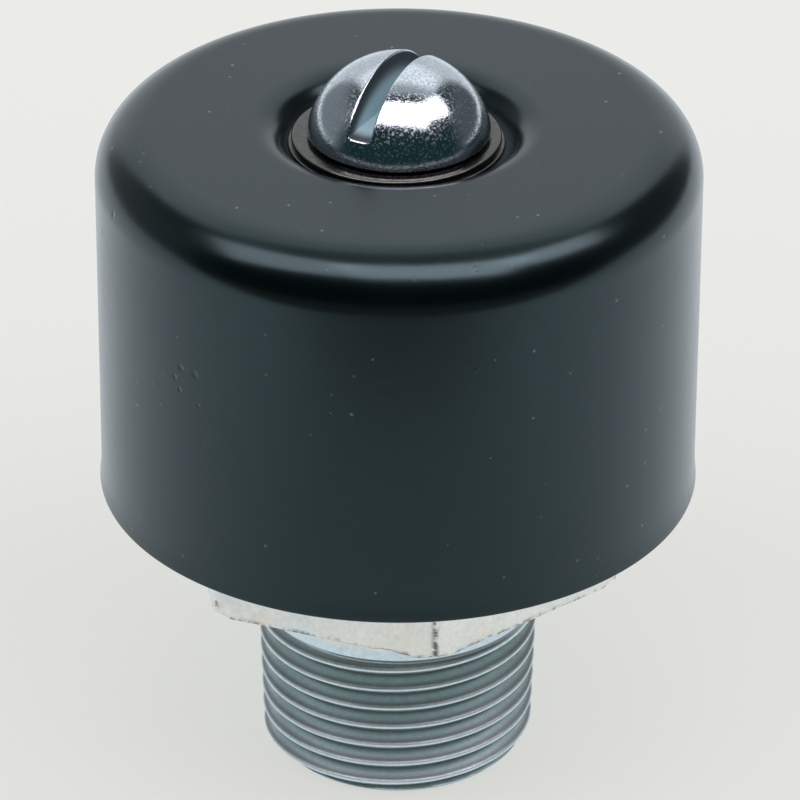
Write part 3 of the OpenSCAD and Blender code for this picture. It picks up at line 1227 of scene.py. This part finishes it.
@dataclass
class RoundHeadScrew(Dressing):
    """The slotted round-head screw that holds the cap down."""

    seat_z: float = 40.6
    head_h: float = 4.8
    head_r: float = 5.4
    foot_r: float = 0.5
    slot_w: float = 1.4
    slot_depth: float = 3.1
    slot_turn: float = 52.5
    lip: float = 0.13
    foot: float = 0.10
    floor_blend: float = 0.20
    fillet_blend: float = 0.05
    knee: float = 0.88
    knee_limit: float = 0.97
    dense_share: float = 0.6
    sunk_least: float = 0.12
    sunk_range: Span = (0.3, 2.2)
    skin: float = 0.01
    shank_r: float = 3.0
    shank_l: float = 10.0
    tip: float = 0.6
    pitch: float = 1.0
    groove_half: float = 0.27
    thread_start: Span = (0.6, 1.6)

    def sphere(self) -> float:
        """Radius of the dome's sphere, from the head's radius and height."""
        return (self.head_r**2 + self.head_h**2) / (2.0 * self.head_h)

    def dome(self, across: np.ndarray, along: np.ndarray) -> np.ndarray:
        """Height of the dome above the head's seat: a slice of a sphere."""
        inside = np.maximum(self.sphere() ** 2 - across**2 - along**2, 0.0)
        return self.head_h - self.sphere() + np.sqrt(inside)

    def brim(self) -> tuple[float, float]:
        """Radius and height where the dome meets the round at its foot."""
        sphere = self.sphere()
        height = np.linspace(0.0, self.foot_r, 2001)
        dome = np.sqrt(sphere**2 - (height - self.head_h + sphere) ** 2)
        foot = self.head_r - self.foot_r + np.sqrt(self.foot_r**2 - (self.foot_r - height) ** 2)
        at = int(np.argmin(np.abs(dome - foot)))
        return float(dome[at]), float(height[at])

    def across_rows(self, brim_r: float) -> tuple[np.ndarray, np.ndarray, np.ndarray]:
        """Rows over the head from one side of the slot to the other.

        Args:
            brim_r: Radius of the dome's lower edge.

        Returns:
            Each row's distance across the slot, its kind, and its share of that kind's drop.
        """
        half = 0.5 * self.slot_w
        bend = np.radians(np.linspace(0.0, 90.0, 6))
        sweep = np.radians(np.linspace(90.0, 0.0, 40))
        outer = half + self.lip + (brim_r - half - self.lip) * (1.0 - np.cos(sweep))
        outer = outer[:-1]
        fall = np.linspace(0.0, 1.0, 7)[1:-1]
        middle = np.linspace(half - self.foot, 0.0, 5)[1:]
        rows = {
            SlotRow.DOME: (outer, np.zeros_like(outer)),
            SlotRow.LIP: (half + self.lip * (1.0 - np.sin(bend)), 1.0 - np.cos(bend)),
            SlotRow.WALL: (np.full_like(fall, half), fall),
            SlotRow.FILLET: (half - self.foot * (1.0 - np.cos(bend)), 1.0 - np.sin(bend)),
            SlotRow.FLOOR: (middle, np.zeros_like(middle)),
        }
        across = np.concatenate([place for place, _ in rows.values()])
        share = np.concatenate([drop for _, drop in rows.values()])
        kind = np.concatenate([np.full(len(place), row.value) for row, (place, _) in rows.items()])
        across = np.concatenate([across, -across[::-1][1:]])
        share = np.concatenate([share, share[::-1][1:]])
        kind = np.concatenate([kind, kind[::-1][1:]])
        return across[:, None], kind[:, None], share[:, None]

    def along_rows(self, across: np.ndarray, brim_r: float) -> np.ndarray:
        """Places of each row's points along the slot, over a chord of the head's circle.

        The points are spread so that, in the slot, the one at the knee lies where its floor meets
        the dome.

        Args:
            across: Each row's distance across the slot.
            brim_r: Radius of the dome's lower edge.

        Returns:
            One row of places for each distance.
        """
        knee = self.knee
        half = 0.5 * self.slot_w
        even = np.linspace(-knee, knee, 61)
        dense = knee * np.sin(np.linspace(-0.5 * math.pi, 0.5 * math.pi, 61))
        spread = (1.0 - self.dense_share) * even + self.dense_share * dense
        outside = np.linspace(knee, 1.0, 14)[1:]
        share = np.concatenate([-outside[::-1], spread, outside])[None, :]
        floor = self.head_h - self.slot_depth
        sphere = self.sphere()
        floor_r = math.sqrt(sphere**2 - (floor - self.head_h + sphere) ** 2)
        chord = np.sqrt(np.maximum(brim_r**2 - across**2, 0.0))
        bound = np.sqrt(np.maximum(floor_r**2 - np.minimum(np.abs(across), half) ** 2, 0.0))
        bound = np.minimum(bound / np.maximum(chord, 1e-9), self.knee_limit)
        bound = np.where(np.abs(across) <= half + self.lip, bound, knee)
        size = np.abs(share)
        inner = size / knee * bound
        outer = bound + (size - knee) / (1.0 - knee) * (1.0 - bound)
        return np.sign(share) * np.where(size < knee, inner, outer) * chord

    def top(self, brim_r: float) -> tuple[np.ndarray, tuple[int, int]]:
        """Skin of the dome with its slot, as chords that run along the slot.

        A row on the dome has the dome's height. The slot's rows go down a small round, a straight
        wall and a small fillet to the flat floor. Where the dome is lower than the floor, they
        lie on it.

        Args:
            brim_r: Radius of the dome's lower edge.

        Returns:
            The points row by row, and the numbers of rows and of points in each.
        """
        half = 0.5 * self.slot_w
        floor = self.head_h - self.slot_depth
        across, kind, share = self.across_rows(brim_r)
        along = self.along_rows(across, brim_r)
        dome = self.dome(across, along)
        edge = self.dome(np.clip(across, -half, half), along)
        room = np.maximum(edge - floor, 0.0)
        scale = np.clip(room / (self.lip + self.foot), 0.0, 1.0)
        straight = room - (self.lip + self.foot) * scale
        drop = np.select(
            [kind == SlotRow.LIP, kind == SlotRow.WALL, kind == SlotRow.FILLET],
            [
                self.lip * scale * share,
                self.lip * scale + straight * share,
                room - self.foot * scale * share,
            ],
            0.0,
        )
        flat = soft_min(dome, floor + 0.0 * dome, self.floor_blend)
        height = np.where(kind == SlotRow.FLOOR, flat, dome - drop)
        height = np.where(kind == SlotRow.FILLET, soft_min(height, dome, self.fillet_blend), height)
        turn = math.radians(self.slot_turn)
        x = along * math.cos(turn) - across * math.sin(turn)
        y = along * math.sin(turn) + across * math.cos(turn)
        return np.stack([x, y, height + self.seat_z], axis=-1).reshape(-1, 3), along.shape

    def below(self, brim_r: float, brim_z: float, turn: np.ndarray) -> tuple[np.ndarray, int]:
        """Skin from the dome's lower edge round the foot, under the head and down the shank.

        The shank's radius is the full one less a cosine groove that follows the helix.

        Args:
            brim_r: Radius of the dome's lower edge.
            brim_z: Height of that edge above the head's seat.
            turn: Angles of the columns in radians.

        Returns:
            The points row by row, and the number of rows.
        """
        start = math.degrees(math.asin((brim_z - self.foot_r) / self.foot_r))
        head = np.concatenate(
            [
                [(brim_r, brim_z)],
                arc((self.head_r - self.foot_r, self.foot_r), self.foot_r, start, -90, 8)[1:],
                line((self.head_r - self.foot_r, 0.0), (self.shank_r, 0.0), 3)[1:],
            ]
        )
        z = np.linspace(0.0, self.tip - self.shank_l, 112)[1:, None]
        phase = z / self.pitch - turn[None, :] / FULL_TURN
        groove = self.groove_half * (1.0 - np.cos(FULL_TURN * phase))
        depth = groove * smooth_step(-z, *self.thread_start)
        tail = np.array([(self.shank_r - self.tip, -self.shank_l), (0.0, -self.shank_l)])
        flat = np.ones_like(turn)[None, :]
        radius = np.concatenate([head[:, :1] * flat, self.shank_r - depth, tail[:, :1] * flat])
        height = np.concatenate([head[:, 1:] * flat, z * flat, tail[:, 1:] * flat]) + self.seat_z
        return around_axis(radius, height, turn), len(radius)

    def build(self) -> None:
        """Joins the two skins along the dome's lower edge."""
        brim_r, brim_z = self.brim()
        top, (rows, cols) = self.top(brim_r)
        grid = np.arange(rows * cols).reshape(rows, cols)
        loop = np.concatenate([grid[:, -1], grid[::-1, 0]])
        turn = np.arctan2(top[loop, 1], top[loop, 0])
        skirt, levels = self.below(brim_r, brim_z, turn)
        skirt[: len(turn)] = top[loop]
        quads = np.concatenate(
            [
                grid_quads(rows, cols, False, False),
                grid_quads(levels, len(turn), False, True)[:, ::-1] + len(top),
            ]
        )
        piece = make_piece("round_head_screw", np.concatenate([top, skirt]), quads, 34.0)
        self.mark_slot(piece.data)
        self.dress(piece)

    def mark_slot(self, mesh: bpy.types.Mesh) -> None:
        """Stores on each point zero outside the slot, a half at its ends and one where it is deep."""
        x, y, z = vertex_places(mesh)
        turn = math.radians(self.slot_turn)
        across = np.abs(y * math.cos(turn) - x * math.sin(turn))
        height = z - self.seat_z
        sunk = self.dome(x, y) - height
        narrow = across < 0.5 * self.slot_w + self.skin
        inside = narrow & (height > self.foot_r) & (sunk > self.sunk_least)
        deep = SLOT_END + (1.0 - SLOT_END) * smooth_step(sunk, *self.sunk_range)
        store(mesh, "slot", np.where(inside, deep, 0.0))


@dataclass
class Washer(Dressing):
    """The punched washer under the screw's head, slid a little to one side."""

    low_z: float = 40.0
    high_z: float = 40.6
    outer_r: float = 6.3
    inner_r: float = 3.2
    shift: float = -0.15
    disc_r: float = 6.1
    flange_h: float = 0.22
    flange_round: float = 0.10
    upper_round: float = 0.14
    lower_round: float = 0.06
    turns: int = 192

    def build(self) -> None:
        """Turns a stepped section with rounded rims about the axis, and shifts it along X.

        A thin flange lies on the cap, and a disc of slightly smaller radius stands on it.
        """
        top, low, flange = self.upper_round, self.lower_round, self.flange_round
        step_z = self.low_z + self.flange_h
        section = np.concatenate(
            [
                arc((self.outer_r - low, self.low_z + low), low, -90, 0, 4),
                arc((self.outer_r - flange, step_z - flange), flange, 0, 90, 6),
                line((self.disc_r, step_z), (self.disc_r, self.high_z - top), 3)[:-1],
                arc((self.disc_r - top, self.high_z - top), top, 0, 90, 6),
                arc((self.inner_r + top, self.high_z - top), top, 90, 180, 4),
                arc((self.inner_r + low, self.low_z + low), low, 180, 270, 4),
            ]
        )
        points = around_axis(section[:, :1], section[:, 1:], full_turn(self.turns))
        points = points + np.array([self.shift, 0.0, 0.0])
        quads = grid_quads(len(section), self.turns, True, True)
        self.dress(make_piece("plain_washer", points, quads, 60.0))


@dataclass
class KnittedFilter(Dressing):
    """The filter: a jacket of knitted wire round a packed core."""

    low_z: float = 22.2
    high_z: float = 40.2
    outer_r: float = 11.5
    inner_r: float = 6.2
    wire: float = 0.13
    wales: int = 40
    courses: int = 12
    loop_steps: int = 16
    wire_sides: int = 6
    loop_lean: float = 0.75
    loop_height: float = 1.2
    first_course: float = 1.25
    spare_course: float = 0.7
    floor_gap: float = 0.05
    jacket_inset: float = 2.2
    core_inset: float = 5.0
    rim_w: float = 0.8
    rim_drop: float = 0.3
    crown_drop: float = 0.2
    dip_from: float = 9.6
    dip_to: float = 8.2
    dip_drop: float = 1.0
    post_drop: float = 1.7
    crumple: float = 0.09
    crumple_r: float = 9.5
    core_turns: int = 240

    def jacket(self) -> bpy.types.Object:
        """Wire of the jacket: rows of loops, each a closed tube round the axis.

        A loop goes forwards by its phase plus a sine of twice the phase, up and down by the cosine
        of the phase, and in and out by the cosine of twice the phase, so that rows hook together.

        Returns:
            The jacket's object.
        """
        steps = self.loop_steps * self.wales
        phase = np.linspace(0.0, 2.0 * math.pi * self.wales, steps, endpoint=False)
        turn = (phase + self.loop_lean * np.sin(2.0 * phase)) / self.wales
        lift = 0.5 * (self.high_z - self.low_z) / (self.courses + self.spare_course)
        courses = self.first_course + 2.0 * np.arange(self.courses)
        level = self.low_z + self.wire + self.floor_gap + lift * courses
        radius = self.outer_r - self.jacket_inset * self.wire + self.wire * np.cos(2.0 * phase)
        height = level[:, None] + self.loop_height * lift * np.cos(phase)
        path = np.stack(
            [
                np.broadcast_to(radius * np.cos(turn), height.shape),
                np.broadcast_to(radius * np.sin(turn), height.shape),
                height,
            ],
            axis=-1,
        )
        ahead = np.roll(path, -1, axis=1) - np.roll(path, 1, axis=1)
        ahead /= np.linalg.norm(ahead, axis=-1, keepdims=True)
        out = np.stack([np.cos(turn), np.sin(turn), np.zeros_like(turn)], axis=-1)[None]
        side = np.cross(ahead, out)
        side /= np.linalg.norm(side, axis=-1, keepdims=True)
        up = np.cross(side, ahead)
        around = full_turn(self.wire_sides)[:, None]
        ring = np.cos(around) * side[:, :, None, :] + np.sin(around) * up[:, :, None, :]
        points = path[:, :, None, :] + self.wire * ring
        quads = grid_quads(steps, self.wire_sides, True, True)
        quads = repeat_quads(quads, self.courses, steps * self.wire_sides)
        return make_piece("filter_jacket", points.reshape(-1, 3), quads, 80.0)

    def packing(self) -> bpy.types.Object:
        """Packed wire inside the jacket: a ring whose skin is crumpled by crossing waves."""
        outer = self.outer_r - self.core_inset * self.wire
        rim_z = self.high_z - self.rim_drop
        post_z = self.high_z - self.post_drop
        section = np.concatenate(
            [
                line((self.inner_r, self.low_z), (outer, self.low_z), 5),
                line((outer, self.low_z), (outer, rim_z), 60)[1:],
                line((outer - self.rim_w, self.high_z - self.crown_drop), (self.dip_from, rim_z), 3),
                line((self.dip_to, self.high_z - self.dip_drop), (self.inner_r, post_z), 4),
                line((self.inner_r, post_z), (self.inner_r, self.low_z), 12)[1:-1],
            ]
        )
        turn = full_turn(self.core_turns)
        radius, height = section[:, :1], section[:, 1:]
        waves = np.sin(31.0 * turn + 2.6 * height) * np.sin(23.0 * turn - 3.1 * height)
        radius = radius - self.crumple * (1.0 + waves) * smooth_step(radius, self.crumple_r, outer)
        points = around_axis(radius, height, turn)
        quads = grid_quads(len(section), self.core_turns, True, True)
        return make_piece("filter_packing", points, quads, 80.0)

    def build(self) -> None:
        """Makes the jacket and the packing."""
        self.dress(self.jacket())
        self.dress(self.packing())


# Studio


@dataclass(frozen=True)
class Softbox:
    """A rectangular light: place along the studio's axes and size in metres, and power in watts.

    Its yaw is the turn of its long side about the vertical, from the camera's right.
    """

    name: str
    at: tuple[float, float, float]
    size: Span
    watts: float
    yaw: float


@dataclass
class Studio:
    """Camera, floor, lights and surroundings, turned with the camera's side of the object.

    Spans on the floor are in metres. Spans of the surroundings are shares of a heading of length
    one along the camera's axes.
    """

    azimuth: float = -9.2
    elevation: float = 28.55
    distance: float = 342.2
    aim_z: float = 29.8
    aim_drop: float = 1.005
    aim_side: float = 0.017
    roll: float = 0.18
    lens: float = 262.4
    sensor: float = 36.0
    floor_half: float = 2500.0
    floor_tone: Colour = (0.12, 0.12, 0.12)
    floor_rough: float = 0.9
    floor_gloss: float = 0.1
    near: Colour = (0.60, 0.61, 0.575)
    far: Colour = (0.67, 0.68, 0.64)
    rise: Span = (0.0, 0.11)
    front: Colour = (0.0, 0.0, 0.0)
    front_end: Span = (-0.096, -0.070)
    mirrored: Colour = (0.73, 0.81, 0.85)
    beside: Colour = (0.98, 1.07, 1.14)
    beside_start: Span = (0.02, 0.07)
    pale: Colour = (0.82, 0.83, 0.79)
    back: Colour = (0.93, 0.965, 1.02)
    high: Colour = (1.47, 1.52, 1.60)
    high_start: Span = (0.47, 0.72)
    card_start: Span = (-0.08, 0.06)
    card_full: Span = (0.18, 0.34)
    card_top: float = 0.36
    card_width: Span = (0.62, 0.50)
    left: Colour = (0.30, 0.33, 0.35)
    right: Colour = (0.12, 0.14, 0.15)
    sides_blend: Span = (-0.2, 0.2)
    sides_start: Span = (-0.35, 0.10)
    sides_top: Span = (0.80, 0.40)
    dark: Colour = (0.012, 0.042, 0.042)
    key: Colour = (1.0, 0.90, 0.98)
    light_aim: float = 0.035
    softboxes: tuple[Softbox, ...] = (
        Softbox("key_softbox", (0.085, -0.225, 0.486), (0.45, 0.25), 2.17, 0.0),
        Softbox("right_softbox", (0.375, -0.065, 0.486), (0.29, 0.22), 1.02, 48.0),
        Softbox("left_softbox", (-0.28, -0.15, 0.486), (0.38, 0.27), 1.40, -22.0),
    )

    def axes(self) -> tuple[Vector, Vector, Vector]:
        """The camera's right, its heading along the floor, and up."""
        turn = math.radians(self.azimuth)
        right = Vector((math.cos(turn), math.sin(turn), 0.0))
        ahead = Vector((-math.sin(turn), math.cos(turn), 0.0))
        return right, ahead, Vector((0.0, 0.0, 1.0))

    def spot(self, right: float, ahead: float, up: float) -> Vector:
        """A place in the studio, counted from the floor under the object along the camera's axes."""
        axes = self.axes()
        return right * axes[0] + ahead * axes[1] + up * axes[2]

    def camera(self) -> None:
        """Puts a long lens in front of the object, above it, and aims it a little below the cap."""
        rise = math.radians(self.elevation)
        aim = Vector((0.0, 0.0, self.aim_z * MM))
        reach = self.distance * MM
        spot = aim + self.spot(0.0, -reach * math.cos(rise), reach * math.sin(rise))
        look = (aim - spot).to_track_quat("-Z", "Y").to_matrix()
        nod = Matrix.Rotation(math.radians(-self.aim_drop), 3, "X")
        pan = Matrix.Rotation(math.radians(-self.aim_side), 3, "Y")
        tip = Matrix.Rotation(math.radians(self.roll), 3, "Z")
        data = bpy.data.cameras.new("studio_camera")
        data.lens = self.lens
        data.sensor_width = self.sensor
        data.clip_start = 0.01
        data.clip_end = 20.0
        camera = bpy.data.objects.new("studio_camera", data)
        camera.matrix_world = Matrix.Translation(spot) @ (look @ nod @ pan @ tip).to_4x4()
        bpy.context.scene.collection.objects.link(camera)
        bpy.context.scene.camera = camera

    def floor(self) -> None:
        """A wide pale floor that glows by itself, so that shadows stay light.

        The glow rises a little towards the backdrop. In reflections it is brighter beside the
        object and fades out in front of it, as a paper sheet does that ends there.
        """
        half = self.floor_half
        points = np.array([(-half, -half, 0.0), (half, -half, 0.0), (half, half, 0.0), (-half, half, 0.0)])
        mesh = bpy.data.meshes.new("studio_floor")
        mesh.from_pydata((points * MM).tolist(), [], [[0, 1, 2, 3]])
        floor = bpy.data.objects.new("studio_floor", mesh)
        bpy.context.scene.collection.objects.link(floor)
        material = bpy.data.materials.new("studio_floor")
        material.use_nodes = True
        shader = material.node_tree.nodes["Principled BSDF"]
        shader.inputs["Base Color"].default_value = (*self.floor_tone, 1.0)
        shader.inputs["Roughness"].default_value = self.floor_rough
        shader.inputs["Specular IOR Level"].default_value = self.floor_gloss
        shader.inputs["Emission Strength"].default_value = 1.0
        sheet = Sheet(material.node_tree)
        place = sheet.coordinates()
        across, ahead = (sheet.along(place, axis) for axis in self.axes()[:2])
        glow = sheet.mix(sheet.remap(ahead, *self.rise), self.near, self.far)
        aside = sheet.remap(sheet.math("ABSOLUTE", across), *self.beside_start)
        mirrored = sheet.mix(aside, self.mirrored, self.beside)
        mirrored = sheet.mix(sheet.remap(ahead, *self.front_end), self.front, mirrored)
        seen = sheet.add("ShaderNodeLightPath").outputs["Is Camera Ray"]
        sheet.feed(shader.inputs["Emission Color"], sheet.mix(seen, mirrored, glow))
        mesh.materials.append(material)

    def hang(self, box: Softbox) -> None:
        """Hangs a light in its place, facing the cap."""
        data = bpy.data.lights.new(box.name, "AREA")
        data.shape = "RECTANGLE"
        data.size, data.size_y = box.size
        data.energy = box.watts
        data.color = self.key
        light = bpy.data.objects.new(box.name, data)
        spot = self.spot(*box.at)
        right, ahead, _ = self.axes()
        yaw = math.radians(box.yaw)
        back = (spot - Vector((0.0, 0.0, self.light_aim))).normalized()
        long = math.cos(yaw) * right + math.sin(yaw) * ahead
        across = back.cross(long).normalized()
        face = Matrix((across.cross(back), across, back)).transposed()
        light.matrix_world = Matrix.Translation(spot) @ face.to_4x4()
        bpy.context.scene.collection.objects.link(light)

    def surroundings(self) -> None:
        """A tall bright card behind the object, dim sides and a dark camera's side.

        The card fades out with the heading's share along the camera's view and across it. The sides
        fade out towards the camera and overhead. Seen directly, all of it is plain and pale.
        """
        world = bpy.data.worlds.new("studio")
        bpy.context.scene.world = world
        world.use_nodes = True
        sheet = Sheet(world.node_tree)
        backdrop = world.node_tree.nodes["Background"]
        heading = sheet.add("ShaderNodeTexCoord").outputs["Generated"]
        across, ahead, up = (sheet.along(heading, axis) for axis in self.axes())
        full = sheet.remap(ahead, *self.card_full, self.card_top, 1.0)
        tall = sheet.math("MULTIPLY", full, sheet.remap(ahead, *self.card_start))
        wide = sheet.remap(sheet.math("ABSOLUTE", across), *self.card_width)
        low = sheet.math(
            "MULTIPLY", sheet.remap(ahead, *self.sides_start), sheet.remap(up, *self.sides_top)
        )
        sides = sheet.mix(sheet.remap(across, *self.sides_blend), self.left, self.right)
        glow = sheet.mix(low, self.dark, sides)
        card = sheet.mix(sheet.remap(up, *self.high_start), self.back, self.high)
        glow = sheet.mix(sheet.math("MULTIPLY", tall, wide), glow, card)
        seen = sheet.add("ShaderNodeLightPath").outputs["Is Camera Ray"]
        sheet.feed(backdrop.inputs["Color"], sheet.mix(seen, glow, self.pale))

    def build(self) -> None:
        """Sets up the whole studio."""
        self.camera()
        self.floor()
        for box in self.softboxes:
            self.hang(box)
        self.surroundings()
        bpy.context.scene.view_settings.view_transform = "Standard"
        bpy.context.scene.view_settings.look = "None"


def corners(box: tuple[Vector, Vector]) -> list[list[float]]:
    """Two corners of a box as plain lists of numbers."""
    return [[float(value) for value in corner] for corner in box]


def main() -> None:
    """Loads the frame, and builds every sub-assembly and the studio."""
    logging.basicConfig(level=logging.INFO, format="%(name)s: %(message)s")
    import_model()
    build_speckle()
    build_nibs()
    build_stain()
    build_turned_lines()
    Studio().build()
    CapShell(Slot.CAP, Node.CAP, SatinPaint("satin_black_paint", (0.0004, 0.0009, 0.0008), 0.23)).build()
    ThreadedBody(Slot.BODY, Node.BODY, PassivatedZinc("passivated_zinc", (0.75, 0.72, 0.65), 0.30)).build()
    RoundHeadScrew(Slot.SCREW, Node.SCREW, BrightZinc("bright_zinc", (0.53, 0.57, 0.60), 0.06)).build()
    Washer(Slot.WASHER, Node.WASHER, DarkSteel("dark_steel", (0.065, 0.063, 0.057), 0.20)).build()
    KnittedFilter(Slot.FILTER, Node.FILTER, Wire("filter_wire", (0.45, 0.45, 0.44), 0.35)).build()


if __name__ == "__main__":
    main()
